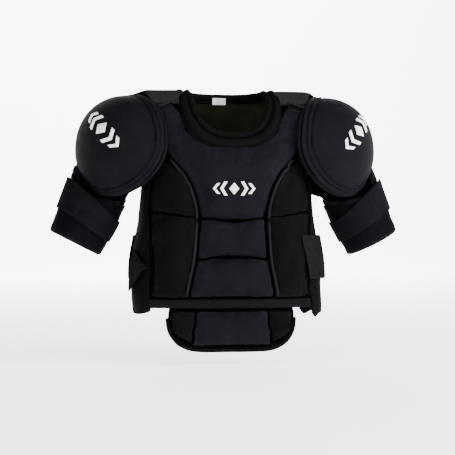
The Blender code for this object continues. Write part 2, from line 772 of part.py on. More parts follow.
# ---- assembly -----------------------------------------------------------------------------------
def main():
    clear_scene()
    kit = Kit()
    make_panel(kit, "front_carrier", -1, -FABRIC, FABRIC, "shell_fabric")
    make_panel(kit, "front_lining", -1, -FABRIC - GAP - LINING, LINING, "lining")
    make_panel(kit, "back_carrier", 1, -FABRIC, FABRIC, "shell_fabric")
    make_panel(kit, "back_lining", 1, -FABRIC - GAP - LINING, LINING, "lining")
    make_front_sections(kit)
    make_back_sections(kit)
    make_hems(kit)
    make_side_panels(kit)
    make_collar(kit)
    make_neck_label(kit)
    make_yokes(kit)
    make_chest_badge(kit)
    for side_name, sign in SIDES:
        cap_pivot = kit.empty(f"cap_hinge_{side_name}", CAP_HINGE, sign)
        make_cap(kit, side_name, sign, cap_pivot)
        top_out = arm_point(0.0, ARM_HINGE_ALONG, 0.0)
        arm_pivot = kit.empty(f"arm_hinge_{side_name}", top_out, sign, cap_pivot)
        make_arm(kit, side_name, sign, arm_pivot)
        make_arm_hanger(kit, side_name, sign, arm_pivot)
        peel = arm_point(math.radians(186.0), 0.5, -0.001)
        strap_pivot = kit.empty(f"arm_strap_hinge_{side_name}", peel, sign, arm_pivot)
        make_arm_strap(kit, side_name, sign, strap_pivot)
        seam = around(STRAP_HINGE_ANGLE, (STRAP_TOP + STRAP_LOW) / 2.0, 0.0025)
        side_pivot = kit.empty(f"side_strap_hinge_{side_name}", seam, sign)
        make_side_strap(kit, side_name, sign, side_pivot)
    flap_line = surface(0.0, HEM, -1, -0.0020)
    make_belly(kit, kit.empty("belly_hinge", Vector((0.0, flap_line.y, BELLY_TOP)), 1))


main()
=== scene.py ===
"""The visual model of the hockey shoulder pads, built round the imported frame.

Metres, +Z up; the front faces -Y and the wearer's left side is +X.
"""

import json
import math

import bmesh
import bpy
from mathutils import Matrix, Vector, noise
from mathutils.bvhtree import BVHTree
from mathutils.kdtree import KDTree


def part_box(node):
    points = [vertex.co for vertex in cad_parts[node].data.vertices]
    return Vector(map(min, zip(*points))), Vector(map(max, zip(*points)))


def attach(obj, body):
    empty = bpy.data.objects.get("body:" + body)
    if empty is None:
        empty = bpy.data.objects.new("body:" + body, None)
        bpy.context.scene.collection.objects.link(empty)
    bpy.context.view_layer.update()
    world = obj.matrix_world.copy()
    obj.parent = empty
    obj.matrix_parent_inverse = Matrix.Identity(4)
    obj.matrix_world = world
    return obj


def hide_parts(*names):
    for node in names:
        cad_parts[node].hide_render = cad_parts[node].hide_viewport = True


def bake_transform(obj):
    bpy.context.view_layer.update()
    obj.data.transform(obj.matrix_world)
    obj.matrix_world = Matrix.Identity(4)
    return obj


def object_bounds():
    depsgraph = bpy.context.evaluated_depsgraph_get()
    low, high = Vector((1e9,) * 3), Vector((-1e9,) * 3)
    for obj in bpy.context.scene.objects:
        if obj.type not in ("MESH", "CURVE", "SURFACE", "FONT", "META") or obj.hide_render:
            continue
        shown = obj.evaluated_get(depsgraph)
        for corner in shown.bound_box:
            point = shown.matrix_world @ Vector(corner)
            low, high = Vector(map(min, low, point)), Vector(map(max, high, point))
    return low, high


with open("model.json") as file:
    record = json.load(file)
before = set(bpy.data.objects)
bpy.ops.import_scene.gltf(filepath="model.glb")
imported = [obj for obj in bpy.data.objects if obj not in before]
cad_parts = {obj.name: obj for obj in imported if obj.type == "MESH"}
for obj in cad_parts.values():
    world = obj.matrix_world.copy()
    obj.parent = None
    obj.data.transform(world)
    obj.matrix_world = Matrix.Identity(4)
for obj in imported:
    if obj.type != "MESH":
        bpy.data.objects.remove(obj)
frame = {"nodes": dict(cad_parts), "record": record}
CAD_BOX = [list(corner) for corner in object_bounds()]
NODES = frame["nodes"]
BODIES = frame["record"]["behaviour"]["bodies"]
BODY_OF = {node: body for body, nodes in BODIES.items() for node in nodes}
SIDES = (("left", 1), ("right", -1))
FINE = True


def linked(name, data):
    """A new object in the scene."""
    obj = bpy.data.objects.new(name, data)
    bpy.context.scene.collection.objects.link(obj)
    return obj


def from_bmesh(name, bm):
    """The bmesh as a new object in the scene."""
    mesh = bpy.data.meshes.new(name)
    bm.to_mesh(mesh)
    bm.free()
    return linked(name, mesh)


# ---- camera, light and floor --------------------------------------------------------------------
CAMERA_TURN = math.radians(-7.5)
CAMERA_AWAY = 2.8
CAMERA_HEIGHT = -0.2756
LENS, SENSOR = 98.5, 36.0  # mm
IMAGE_WIDTH = 455.0
FRAMING_SHIFT = 2.0 / IMAGE_WIDTH
WORLD_LIGHT = 0.38
PAPER_WHITE = 0.92
STUDIO_HALF_WIDTH = 8.0
FLOOR_Z = CAD_BOX[0][2] - 0.030
FLOOR_NEAR, FLOOR_FAR = -6.5, 4.4
FLOOR_GLOW, WALL_GLOW = 1.8, 3.0
# The wall's profile behind the floor: how far back, and how high over the floor.
WALL_SWEEP = ((FLOOR_FAR, 0.0), (5.0, 0.05), (5.35, 0.25), (5.5, 0.6), (5.55, 5.0))
MIDDLE = (0.0, 0.0, -0.25)
# Each light's name, place, target, size and power in watts.
LIGHTS = (
    ("key", (2.4, -2.0, 0.8), MIDDLE, (1.1, 1.0), 108.0),
    ("fill", (-0.8, -3.0, 0.4), MIDDLE, (1.3, 1.3), 28.0),
    ("side", (2.8, -1.2, 0.5), (0.25, 0.0, -0.15), (0.8, 0.8), 85.0),
    ("top", (0.0, -0.6, 2.1), MIDDLE, (1.8, 1.0), 4.0),
    ("backdrop", (0.0, 3.4, 2.6), (0.0, 5.6, -0.1), (4.0, 1.2), 500.0),
    ("foreground", (0.0, -1.0, 1.9), (0.0, -0.6, FLOOR_Z), (3.6, 1.2), 40.0),
)


def make_camera():
    data = bpy.data.cameras.new("camera")
    data.lens = LENS
    data.sensor_width = SENSOR
    data.shift_x = FRAMING_SHIFT
    camera = linked("camera", data)
    place = Vector((math.sin(CAMERA_TURN), -math.cos(CAMERA_TURN), 0.0)) * CAMERA_AWAY
    camera.location = place + Vector((0.0, 0.0, CAMERA_HEIGHT))
    camera.rotation_euler = (math.radians(90.0), 0.0, CAMERA_TURN)
    bpy.context.scene.camera = camera


def make_light(name, place, target, size, power):
    data = bpy.data.lights.new(name, "AREA")
    data.shape = "RECTANGLE"
    data.size = size[0]
    data.size_y = size[1]
    data.energy = power
    light = linked(name, data)
    light.location = place
    light.rotation_euler = (Vector(target) - Vector(place)).to_track_quat("-Z", "Y").to_euler()


def make_studio():
    world = bpy.data.worlds.new("studio")
    world.use_nodes = True
    back = world.node_tree.nodes["Background"]
    back.inputs["Color"].default_value = (1.0, 1.0, 1.0, 1.0)
    back.inputs["Strength"].default_value = WORLD_LIGHT
    bpy.context.scene.world = world
    for light in LIGHTS:
        make_light(*light)
    paper_strip("floor", [(FLOOR_NEAR, FLOOR_Z), (FLOOR_FAR, FLOOR_Z)], FLOOR_GLOW)
    paper_strip("wall", [(y, FLOOR_Z + up) for y, up in WALL_SWEEP], WALL_GLOW)


def paper_strip(name, profile, glow):
    """A strip of the studio's white paper, swept across the scene."""
    bm = bmesh.new()
    sides = (-STUDIO_HALF_WIDTH, STUDIO_HALF_WIDTH)
    rows = [[bm.verts.new((x, y, z)) for x in sides] for y, z in profile]
    for a, b in zip(rows, rows[1:]):
        bm.faces.new((a[0], a[1], b[1], b[0]))
    strip = from_bmesh(name, bm)
    strip.data.shade_smooth()
    material = bpy.data.materials.new(name + "_paper")
    material.use_nodes = True
    shader = material.node_tree.nodes["Principled BSDF"]
    shader.inputs["Base Color"].default_value = (PAPER_WHITE, PAPER_WHITE, PAPER_WHITE, 1.0)
    shader.inputs["Roughness"].default_value = 0.9
    shader.inputs["Emission Color"].default_value = (1.0, 1.0, 1.0, 1.0)
    shader.inputs["Emission Strength"].default_value = glow
    strip.data.materials.append(material)


make_camera()
make_studio()


# ---- materials ----------------------------------------------------------------------------------
WAVE_PERIOD = 0.314159  # of a wave texture's bands at scale 1


class Shader:
    """A Principled material with small helpers for its node tree."""

    def __init__(self, name, roughness, specular=0.3, sheen=0.0):
        self.material = bpy.data.materials.new(name)
        self.material.use_nodes = True
        self.tree = self.material.node_tree
        self.bsdf = self.tree.nodes["Principled BSDF"]
        self.bsdf.inputs["Roughness"].default_value = roughness
        self.bsdf.inputs["Specular IOR Level"].default_value = specular
        self.bsdf.inputs["Sheen Weight"].default_value = sheen
        self.bsdf.inputs["Sheen Roughness"].default_value = 0.45

    def node(self, kind, **values):
        node = self.tree.nodes.new(kind)
        for key, value in values.items():
            setattr(node, key, value)
        return node

    def link(self, output, target):
        self.tree.links.new(output, target)

    def coords(self, source):
        return self.node("ShaderNodeTexCoord").outputs[source]

    def noise(self, scale, detail=3.0, roughness=0.55):
        node = self.node("ShaderNodeTexNoise")
        node.inputs["Scale"].default_value = scale
        node.inputs["Detail"].default_value = detail
        node.inputs["Roughness"].default_value = roughness
        self.link(self.coords("Object"), node.inputs["Vector"])
        return node.outputs["Fac"]

    def wave(self, period, direction, distortion=0.0):
        """Bands of the given period in metres, along U (X) or V (Y)."""
        node = self.node("ShaderNodeTexWave", wave_type="BANDS", bands_direction=direction)
        node.inputs["Scale"].default_value = WAVE_PERIOD / period
        node.inputs["Distortion"].default_value = distortion
        node.inputs["Detail Scale"].default_value = 1.5
        self.link(self.coords("UV"), node.inputs["Vector"])
        return node.outputs["Fac"]

    def math(self, operation, a, b):
        node = self.node("ShaderNodeMath", operation=operation)
        for socket, value in zip(node.inputs, (a, b)):
            if isinstance(value, (int, float)):
                socket.default_value = value
            else:
                self.link(value, socket)
        return node.outputs[0]

    def ramp(self, fac, stops):
        node = self.node("ShaderNodeValToRGB")
        ramp = node.color_ramp
        while len(ramp.elements) < len(stops):
            ramp.elements.new(0.5)
        for element, (position, colour) in zip(ramp.elements, stops):
            element.position = position
            element.color = (*colour, 1.0)
        self.link(fac, node.inputs["Fac"])
        return node.outputs["Color"]

    def mottled(self, colour, scale, *stops):
        """The colour drifting between shares of itself, given as (position, share)."""
        tones = [(position, scaled(colour, share)) for position, share in stops]
        return self.ramp(self.noise(scale), tones)

    def mix(self, fac, a, b):
        node = self.node("ShaderNodeMix", data_type="RGBA")
        for socket, value in zip((node.inputs[0], node.inputs[6], node.inputs[7]), (fac, a, b)):
            if isinstance(value, (int, float)):
                socket.default_value = value
            elif isinstance(value, tuple):
                socket.default_value = (*value, 1.0)
            else:
                self.link(value, socket)
        return node.outputs[2]

    def over(self, tone, fac, colour, share):
        """Lays colour over tone where fac is high, up to the given share."""
        return self.mix(self.math("MULTIPLY", fac, share), tone, colour)

    def wear(self):
        return self.node("ShaderNodeAttribute", attribute_name="wear").outputs["Fac"]

    def bump(self, height, strength, distance):
        node = self.node("ShaderNodeBump")
        node.inputs["Strength"].default_value = strength
        node.inputs["Distance"].default_value = distance
        self.link(height, node.inputs["Height"])
        previous = self.bsdf.inputs["Normal"].links
        if previous:
            self.link(previous[0].from_socket, node.inputs["Normal"])
        self.link(node.outputs["Normal"], self.bsdf.inputs["Normal"])

    def rough(self, fac, low, high):
        node = self.node("ShaderNodeMapRange")
        node.inputs["To Min"].default_value = low
        node.inputs["To Max"].default_value = high
        self.link(fac, node.inputs["Value"])
        self.link(node.outputs["Result"], self.bsdf.inputs["Roughness"])

    def colour(self, output):
        self.link(output, self.bsdf.inputs["Base Color"])


def scaled(colour, share):
    return tuple(part * share for part in colour)


def woven(name, colour, thread, roughness, specular=0.0, sheen=0.0, weave=0.5, worn=None):
    """Plain-weave cloth: over-under threads, faint colour variation and paler worn edges."""
    s = Shader(name, roughness, specular, sheen)
    across = s.wave(thread, "X")
    down = s.wave(thread, "Y")
    checker = s.node("ShaderNodeTexChecker")
    checker.inputs["Scale"].default_value = 1.0 / thread
    s.link(s.coords("UV"), checker.inputs["Vector"])
    height = s.mix(checker.outputs["Fac"], across, down)
    tone = s.mottled(colour, 22.0, (0.30, 0.75), (0.72, 1.28))
    tone = s.over(tone, height, scaled(colour, 1.9), share=0.35)
    tone = s.over(tone, s.noise(900.0, detail=2.0), scaled(colour, 0.4), share=0.25)
    s.colour(s.over(tone, s.wear(), worn or scaled(colour, 3.0), share=0.8))
    s.rough(s.noise(60.0), roughness - 0.07, roughness + 0.08)
    s.bump(s.noise(70.0, detail=4.0), strength=0.22, distance=0.004)
    s.bump(height, strength=weave, distance=0.0006)
    return s.material


def air_mesh(name, colour, cell):
    """Open knitted mesh: a pale net over dark holes."""
    s = Shader(name, roughness=0.85, specular=0.0)
    cells = s.node("ShaderNodeTexVoronoi", feature="DISTANCE_TO_EDGE")
    cells.inputs["Scale"].default_value = 1.0 / cell
    cells.inputs["Randomness"].default_value = 0.25
    s.link(s.coords("UV"), cells.inputs["Vector"])
    net = s.ramp(cells.outputs["Distance"], ((0.16, (1.0, 1.0, 1.0)), (0.34, (0.0, 0.0, 0.0))))
    tone = s.mix(net, scaled(colour, 0.12), colour)
    tone = s.over(tone, s.noise(40.0), scaled(colour, 0.6), share=0.5)
    s.colour(s.over(tone, s.wear(), scaled(colour, 1.6), share=0.5))
    s.bump(net, strength=0.8, distance=0.0010)
    return s.material


def webbing(name, colour, rib):
    """Brushed elastic webbing with fine ribs and fuzz."""
    s = Shader(name, roughness=0.88, specular=0.0)
    ribs = s.wave(rib, "Y", distortion=0.6)
    fuzz = s.noise(1400.0, roughness=0.7)
    tone = s.mottled(colour, 35.0, (0.3, 0.72), (0.75, 1.25))
    tone = s.over(tone, ribs, scaled(colour, 1.7), share=0.35)
    tone = s.over(tone, fuzz, scaled(colour, 0.5), share=0.4)
    s.colour(s.over(tone, s.wear(), scaled(colour, 1.9), share=0.7))
    s.bump(ribs, strength=0.5, distance=0.0007)
    s.bump(fuzz, strength=0.4, distance=0.0004)
    return s.material


def moulded(name, colour, roughness, specular):
    """Moulded plastic or rubber with a fine grain."""
    s = Shader(name, roughness, specular)
    grain = s.noise(1100.0, detail=2.0)
    tone = s.mottled(colour, 30.0, (0.3, 0.88), (0.7, 1.06))
    s.colour(s.over(tone, grain, scaled(colour, 0.7), share=0.12))
    s.rough(s.noise(80.0), roughness - 0.06, roughness + 0.08)
    s.bump(grain, strength=0.15, distance=0.0003)
    return s.material


THREAD = 0.0011  # one thread of the panels' cloth
MAT = {
    "shell_fabric": woven("shell_fabric_cloth", (0.0027, 0.0026, 0.0038), THREAD, 0.80, specular=0.01),
    "panel": woven("panel_cloth", (0.0048, 0.0047, 0.0066), THREAD, 0.76, specular=0.02),
    # Side cloth: more neutral in tone than the panel cloth, and darker as painted shade for the sides
    # turned away from the light.
    "side": woven("side_painted_shade_cloth", (0.0030, 0.0030, 0.0032), THREAD, 0.80, specular=0.01),
    # Painted highlight: cloth about twice as pale as the panel cloth, for the rolled seams and piping,
    # so their crests read as lit.
    "painted_highlight": woven("painted_highlight_cloth", (0.0092, 0.0092, 0.0106), THREAD, 0.75, specular=0.02),
    # Painted shade: near-black cloth, darker than the panel cloth, for the channels between the pads,
    # the linings, the belly flap and the arm sleeves, where shade falls.
    "painted_shade": woven("painted_shade_cloth", (0.0012, 0.0012, 0.0015), THREAD, 0.85),
    "cap": woven("cap_cloth", (0.0040, 0.0039, 0.0056), 0.0010, 0.70, specular=0.03),
    "mesh": air_mesh("air_mesh", (0.021, 0.021, 0.022), cell=0.0046),
    "lining": woven("lining_cloth", (0.0150, 0.0150, 0.0096), 0.0016, 0.85, weave=0.35),
    "binding": woven("binding_cloth", (0.0048, 0.0048, 0.0057), 0.0008, 0.75, specular=0.02, weave=0.6),
    "collar": webbing("collar_rib", (0.0038, 0.0038, 0.0041), rib=0.0022),
    "strap": webbing("strap_webbing", (0.0070, 0.0070, 0.0075), rib=0.0016),
    "cuff": woven("cuff_strap_cloth", (0.0044, 0.0043, 0.0058), 0.0014, 0.80, specular=0.01),
    "plastic": moulded("shell_plastic", (0.0075, 0.0075, 0.0080), 0.50, specular=0.2),
    "foam": woven("foam_laminate", (0.0060, 0.0060, 0.0066), 0.0019, 0.90, weave=0.4),
    "mark": moulded("mark_print", (0.90, 0.90, 0.89), 0.38, specular=0.45),
    "label": woven(
        "label_cloth", (0.66, 0.66, 0.63), 0.0007, 0.70, specular=0.2, sheen=0.05, weave=0.4,
        worn=(0.7, 0.7, 0.66),
    ),
}


# ---- mesh helpers -------------------------------------------------------------------------------
WELD = 0.00004  # CAD corners nearer than this are one
SHARP = 35.0  # degrees: an edge sharper than this is a seam
SEAM_STEP = 0.003
FACING_BIAS = 0.8
CREASE = 0.92
PUFF_FRAMES = 16
TUBE_SIDES = 8
WEAR_SHOW = 0.5
WEAR_PATCHES = 60.0  # per metre
WEAR_BROKEN = 0.45  # how far the patches fade it


def evaluated(obj):
    """Applies every modifier of obj to its mesh."""
    mesh = bpy.data.meshes.new_from_object(obj.evaluated_get(bpy.context.evaluated_depsgraph_get()))
    obj.modifiers.clear()
    obj.data = mesh
    return obj


def copy_node(node, name):
    """A copy of a CAD node's mesh as its own object, welded and turned back into quads."""
    bm = bmesh.new()
    bm.from_mesh(NODES[node].data)
    bmesh.ops.remove_doubles(bm, verts=list(bm.verts), dist=WELD)
    bmesh.ops.join_triangles(
        bm, faces=list(bm.faces), angle_face_threshold=0.6, angle_shape_threshold=1.2,
        topology_influence=1.5,
    )
    return from_bmesh(name, bm)


def add_uv(obj):
    """Box-projected UVs in metres, so that a weave has its real scale."""
    mesh = obj.data
    layer = mesh.uv_layers.get("UVMap") or mesh.uv_layers.new(name="UVMap")
    for polygon in mesh.polygons:
        n = polygon.normal
        size = (abs(n.x), abs(n.y), abs(n.z))
        if size[1] >= size[0] and size[1] >= size[2] * FACING_BIAS:
            axes = (0, 2)
        elif size[0] >= size[2]:
            axes = (1, 2)
        else:
            axes = (0, 1)
        for index in polygon.loop_indices:
            co = mesh.vertices[mesh.loops[index].vertex_index].co
            layer.data[index].uv = (co[axes[0]], co[axes[1]])


class Seam:
    """Dense points along a CAD node's sharp edges: gives any point its distance from them."""

    def __init__(self, node, step=SEAM_STEP):
        bm = bmesh.new()
        bm.from_mesh(NODES[node].data)
        bmesh.ops.remove_doubles(bm, verts=list(bm.verts), dist=WELD)
        dense = []
        for edge in bm.edges:
            if len(edge.link_faces) == 2 and edge.calc_face_angle(0.0) > math.radians(SHARP):
                a, b = (vert.co.copy() for vert in edge.verts)
                count = max(int((b - a).length / step), 1)
                dense.extend(a.lerp(b, i / count) for i in range(count))
        bm.free()
        self.tree = KDTree(len(dense))
        for i, point in enumerate(dense):
            self.tree.insert(point, i)
        self.tree.balance()

    def distance(self, co):
        return self.tree.find(co)[2]


def displace(obj, amount):
    """Moves each vertex along its normal by amount(co, normal)."""
    mesh = obj.data
    moved = [v.co + v.normal * amount(v.co, v.normal) for v in mesh.vertices]
    mesh.vertices.foreach_set("co", [part for co in moved for part in co])
    mesh.update()


def uneven(height, fine):
    """An amount for displace: smooth bumps, this many to the metre."""
    return lambda co, normal: height * noise.noise(co * fine)


def paint_wear(obj, seam=None, reach=0.003, base=0.0):
    """Writes the wear attribute: paler along seams and rims, with broken edges."""
    mesh = obj.data
    layer = mesh.attributes.get("wear") or mesh.attributes.new("wear", "FLOAT", "POINT")
    values = []
    for v in mesh.vertices:
        value = base
        if seam is not None:
            patch = 1.0 - WEAR_BROKEN + WEAR_BROKEN * noise.noise(v.co * WEAR_PATCHES)
            value += WEAR_SHOW * patch * math.exp(-((seam.distance(v.co) / reach) ** 2))
        values.append(min(max(value, 0.0), 1.0))
    layer.data.foreach_set("value", values)


def smooth(obj, rounds, factor=0.5):
    modifier = obj.modifiers.new("smooth", "SMOOTH")
    modifier.factor = factor
    modifier.iterations = rounds
    evaluated(obj)


def subdivide(obj, levels, crease_angle=None):
    """Applies a subdivision surface; edges sharper than crease_angle keep their line."""
    mesh = obj.data
    if crease_angle is not None:
        bm = bmesh.new()
        bm.from_mesh(mesh)
        layer = bm.edges.layers.float.get("crease_edge") or bm.edges.layers.float.new("crease_edge")
        limit = math.radians(crease_angle)
        for edge in bm.edges:
            if len(edge.link_faces) != 2 or edge.calc_face_angle(0.0) > limit:
                edge[layer] = CREASE
        bm.to_mesh(mesh)
        bm.free()
    modifier = obj.modifiers.new("subdivision", "SUBSURF")
    modifier.levels = modifier.render_levels = levels
    evaluated(obj)


def remesh(obj, voxel):
    modifier = obj.modifiers.new("remesh", "REMESH")
    modifier.mode = "VOXEL"
    modifier.voxel_size = voxel
    evaluated(obj)


def puff(obj, pinned, pressure, cap):
    """Inflates a closed form by at most cap; pinned(co, normal) holds what rests on something."""
    mesh = obj.data
    start = [v.co.copy() for v in mesh.vertices]
    group = obj.vertex_groups.new(name="pin")
    held = [v.index for v in mesh.vertices if pinned(v.co, v.normal)]
    group.add(held, 1.0, "REPLACE")
    cloth = obj.modifiers.new("cloth", "CLOTH")
    settings = cloth.settings
    settings.quality = 4
    settings.mass = 0.3
    settings.tension_stiffness = 12.0
    settings.compression_stiffness = 12.0
    settings.shear_stiffness = 4.0
    settings.bending_stiffness = 0.4
    settings.use_pressure = True
    settings.uniform_pressure_force = pressure
    settings.vertex_group_mass = "pin"
    settings.shrink_min = -0.03
    settings.effector_weights.gravity = 0.0
    cloth.collision_settings.use_collision = False
    cloth.point_cache.frame_start = 1
    cloth.point_cache.frame_end = PUFF_FRAMES
    scene = bpy.context.scene
    for number in range(1, PUFF_FRAMES + 1):
        scene.frame_set(number)
    evaluated(obj)
    scene.frame_set(1)
    for v, before in zip(obj.data.vertices, start):
        move = v.co - before
        if move.length > cap:
            v.co = before + move * (cap / move.length)
    obj.vertex_groups.clear()


def reshape(obj, place):
    """Moves each vertex to place(co)."""
    mesh = obj.data
    moved = [place(v.co) for v in mesh.vertices]
    mesh.vertices.foreach_set("co", [part for co in moved for part in co])
    mesh.update()


def bell(offset, width):
    """1 at no offset, falling off smoothly within about this width."""
    return math.exp(-((offset / width) ** 2))


def ramp01(value, low, high):
    """Smoothly from 0 at low to 1 at high."""
    share = min(max((value - low) / (high - low), 0.0), 1.0)
    return share * share * (3.0 - 2.0 * share)


def sheet_grid(name, columns, rows, place, thickness):
    """A closed cloth layer over place(s, t), s and t from 0 to 1, half its thickness to each side."""
    bm = bmesh.new()
    bmesh.ops.create_grid(bm, x_segments=columns, y_segments=rows, size=0.5)
    for vert in bm.verts:
        vert.co = place(vert.co.x + 0.5, vert.co.y + 0.5)
    bmesh.ops.recalc_face_normals(bm, faces=list(bm.faces))
    obj = from_bmesh(name, bm)
    modifier = obj.modifiers.new("solidify", "SOLIDIFY")
    modifier.thickness = thickness
    modifier.offset = 0.0
    return evaluated(obj)


def tube(name, points, radius, closed=False):
    """A round tube along points, as a mesh."""
    curve = bpy.data.curves.new(name + "_path", "CURVE")
    curve.dimensions = "3D"
    curve.bevel_depth = radius
    curve.bevel_resolution = (TUBE_SIDES - 4) // 2
    curve.use_fill_caps = True
    spline = curve.splines.new("POLY")
    spline.points.add(len(points) - 1)
    spline.use_cyclic_u = closed
    for target, point in zip(spline.points, points):
        target.co = (*point, 1.0)
    source = linked(name + "_path", curve)
    mesh = bpy.data.meshes.new_from_object(source.evaluated_get(bpy.context.evaluated_depsgraph_get()))
    bpy.data.objects.remove(source)
    bm = bmesh.new()
    bm.from_mesh(mesh)
    bmesh.ops.remove_doubles(bm, verts=list(bm.verts), dist=WELD / 2.0)
    bmesh.ops.recalc_face_normals(bm, faces=list(bm.faces))
    return from_bmesh(name, bm)


def grid_lengths(place, count=24):
    """The lengths of a sheet's two middle lines."""
    across = [place(i / count, 0.5) for i in range(count + 1)]
    along = [place(0.5, i / count) for i in range(count + 1)]
    return tuple(sum((b - a).length for a, b in zip(line, line[1:])) for line in (across, along))


def add_piece(obj, body, material, node=None):
    """Dresses a finished piece and puts it in the frame; node is the CAD node that it stands for."""
    mesh = obj.data
    if "wear" not in mesh.attributes:
        paint_wear(obj)
    add_uv(obj)
    mesh.materials.clear()
    mesh.materials.append(MAT[material])
    mesh.shade_smooth()
    if body:
        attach(obj, body)
    if node:
        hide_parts(node)


# ---- the lines that the frame is built on -------------------------------------------------------
# Half the distance between the two long seams of the front, as (height, half distance).
COLUMN = (
    (-0.440, 0.0945), (-0.342, 0.0780), (-0.249, 0.0720), (-0.217, 0.0770), (-0.191, 0.0855),
    (-0.169, 0.0955), (-0.146, 0.1120), (-0.127, 0.1280), (-0.112, 0.1350), (0.030, 0.1340),
)
ARM_TOP = Vector((0.2765, -0.0020, -0.1965))
ARM_TILT = math.radians(27.0)
ARM_AXIS = Vector((math.sin(ARM_TILT), 0.0, -math.cos(ARM_TILT)))
ARM_OUT = Vector((math.cos(ARM_TILT), 0.0, math.sin(ARM_TILT)))
ARM_LENGTH = 0.118
STRAP_Z = -0.3420


def blend(a, b, share):
    return a + (b - a) * share


def column(z):
    """Half the distance between the two long seams at height z, on a smooth curve through COLUMN."""
    z = min(max(z, COLUMN[0][0]), COLUMN[-1][0])
    i = max(k for k in range(len(COLUMN) - 1) if COLUMN[k][0] <= z)
    (a, low), (b, high) = COLUMN[i], COLUMN[i + 1]
    u = (z - a) / (b - a)
    slopes = []
    for k in (i, i + 1):
        if k in (0, len(COLUMN) - 1):
            slopes.append(0.0)
        else:
            before, after = COLUMN[k - 1], COLUMN[k + 1]
            slopes.append((after[1] - before[1]) / (after[0] - before[0]))
    rise = (b - a) * (u * (1 - u) ** 2 * slopes[0] - u * u * (1 - u) * slopes[1])
    return low + (high - low) * u * u * (3 - 2 * u) + rise


def surface_tree(obj):
    """A ray target made of a finished mesh."""
    verts = [v.co.copy() for v in obj.data.vertices]
    return BVHTree.FromPolygons(verts, [list(polygon.vertices) for polygon in obj.data.polygons])


def cast(tree, start, direction, fallback):
    """Where a ray meets the surface, with its normal; if it misses, the point nearest to fallback."""
    place, normal, _, _ = tree.ray_cast(start, direction)
    if place is None:
        place, normal, _, _ = tree.find_nearest(fallback)
    return place, normal


BACKWARD = Vector((0.0, 1.0, 0.0))
AHEAD, FRONT_Y = -1.0, -0.1  # where rays start, and about where the front lies
FRONT_TREE = surface_tree(NODES["front_carrier"])


def front_point(x, z, out):
    """The point of the front carrier at (x, z), moved out along its normal."""
    place, normal = cast(FRONT_TREE, Vector((x, AHEAD, z)), BACKWARD, Vector((x, FRONT_Y, z)))
    if normal.y > 0.0:
        normal = -normal
    return place + normal * out


# ---- padded sections ----------------------------------------------------------------------------
PAD_VOXEL, PAD_ROUNDS = 0.0042, 14
PAD_PRESSURE = 7.0
PAD_SWELL = 0.0075
# Normals that point towards the wearer by this much are held, or stay smooth.
PAD_HELD, PAD_SMOOTH = -0.35, -0.2
ASIDE = 0.35  # how much a point's place to the side turns its outward direction
PUCKER = 0.0009
PUCKER_REACH = 0.010
PUCKER_FINE, PUCKER_DEEP, SWELL_COARSE = 95.0, 40.0, 17.0  # per metre
PUCKER_SHARE, SWELL_SHARE = 1.6, 0.9
# How far each kind of section grows towards its seams, across and upwards.
GROWTH = {"belly": (0.0028, 0.0055), "side": (0.0010, 0.0030), "panel": (0.0010, 0.0018)}


def torso_out(co, normal):
    """How far a torso normal points away from the wearer."""
    away = Vector((co.x * ASIDE, co.y, 0.0))
    return normal.dot(away.normalized())


def widen(obj, across, upward):
    """Grows a section towards its seams, by this much at its edges."""
    xs = [v.co.x for v in obj.data.vertices]
    zs = [v.co.z for v in obj.data.vertices]
    middle = ((min(xs) + max(xs)) / 2.0, (min(zs) + max(zs)) / 2.0)
    half = ((max(xs) - min(xs)) / 2.0, (max(zs) - min(zs)) / 2.0)

    def place(co):
        x = co.x + across * (co.x - middle[0]) / half[0]
        return Vector((x, co.y, co.z + upward * (co.z - middle[1]) / half[1]))

    reshape(obj, place)


def make_pad(node, shape=None, cloth="panel"):
    """One sewn foam section: rounded, inflated against its seams, with puckers along them."""
    obj = copy_node(node, node + "_soft")
    remesh(obj, PAD_VOXEL)
    smooth(obj, PAD_ROUNDS)
    if FINE:
        puff(obj, lambda co, normal: torso_out(co, normal) < PAD_HELD, PAD_PRESSURE, PAD_SWELL)
        smooth(obj, 2, factor=0.4)
    seam = Seam(node)

    def amount(co, normal):
        if torso_out(co, normal) < PAD_SMOOTH:
            return 0.0
        near = math.exp(-seam.distance(co) / PUCKER_REACH)
        folds = noise.noise(Vector((co.x * PUCKER_FINE, co.z * PUCKER_FINE, co.y * PUCKER_DEEP)))
        swell = noise.noise(co * SWELL_COARSE)
        return PUCKER * (folds * near * PUCKER_SHARE + SWELL_SHARE * swell * (1.0 - near))

    displace(obj, amount)
    widen(obj, *GROWTH["belly" if node.startswith("belly") else cloth])
    if shape:
        reshape(obj, shape)
    paint_wear(obj, seam, reach=0.005, base=0.02)
    if FINE:
        modifier = obj.modifiers.new("subdivision", "SUBSURF")
        modifier.levels = modifier.render_levels = 1
    add_piece(obj, BODY_OF[node], cloth, node)
    return obj


# The piped seam between chest and yoke: its height by the neck and by the cap, and between which
# distances from the middle it falls.
YOKE_SEAM_HIGH, YOKE_SEAM_LOW = 0.0035, -0.0140
YOKE_SEAM_FALL = (0.112, 0.164)


def yoke_line(x):
    """The height of the piped seam between the chest and the yoke, x from the middle."""
    return blend(YOKE_SEAM_HIGH, YOKE_SEAM_LOW, ramp01(x, *YOKE_SEAM_FALL))


# The chest's upper corners run on under the caps and yokes. Bands are (low, high), of height or of
# distance from the middle.
CORNER_HEIGHT, CORNER_ACROSS = (-0.150, -0.085), (0.095, 0.135)
TOP_HEIGHT, TOP_ACROSS, TOP_SHARE = (-0.110, -0.040), (0.105, 0.135), 1.3
CORNER_SPREAD = 0.085
NECK_MIDDLE, NECK_HALF_WIDTH, NECK_DEPTH = 0.030, 0.112, 0.127
NECK_TUCK, NECK_TUCK_REACH, NECK_LEAST = 0.13, (1.02, 1.42), 0.5
LIFT, LIFT_HEIGHT, LIFT_ACROSS = 0.022, (-0.070, -0.018), (0.078, 0.106)
LEAN, LEAN_HEIGHT = 0.016, (-0.040, -0.010)
OVER_SEAM = 0.15  # what is left of the height past the piped seam


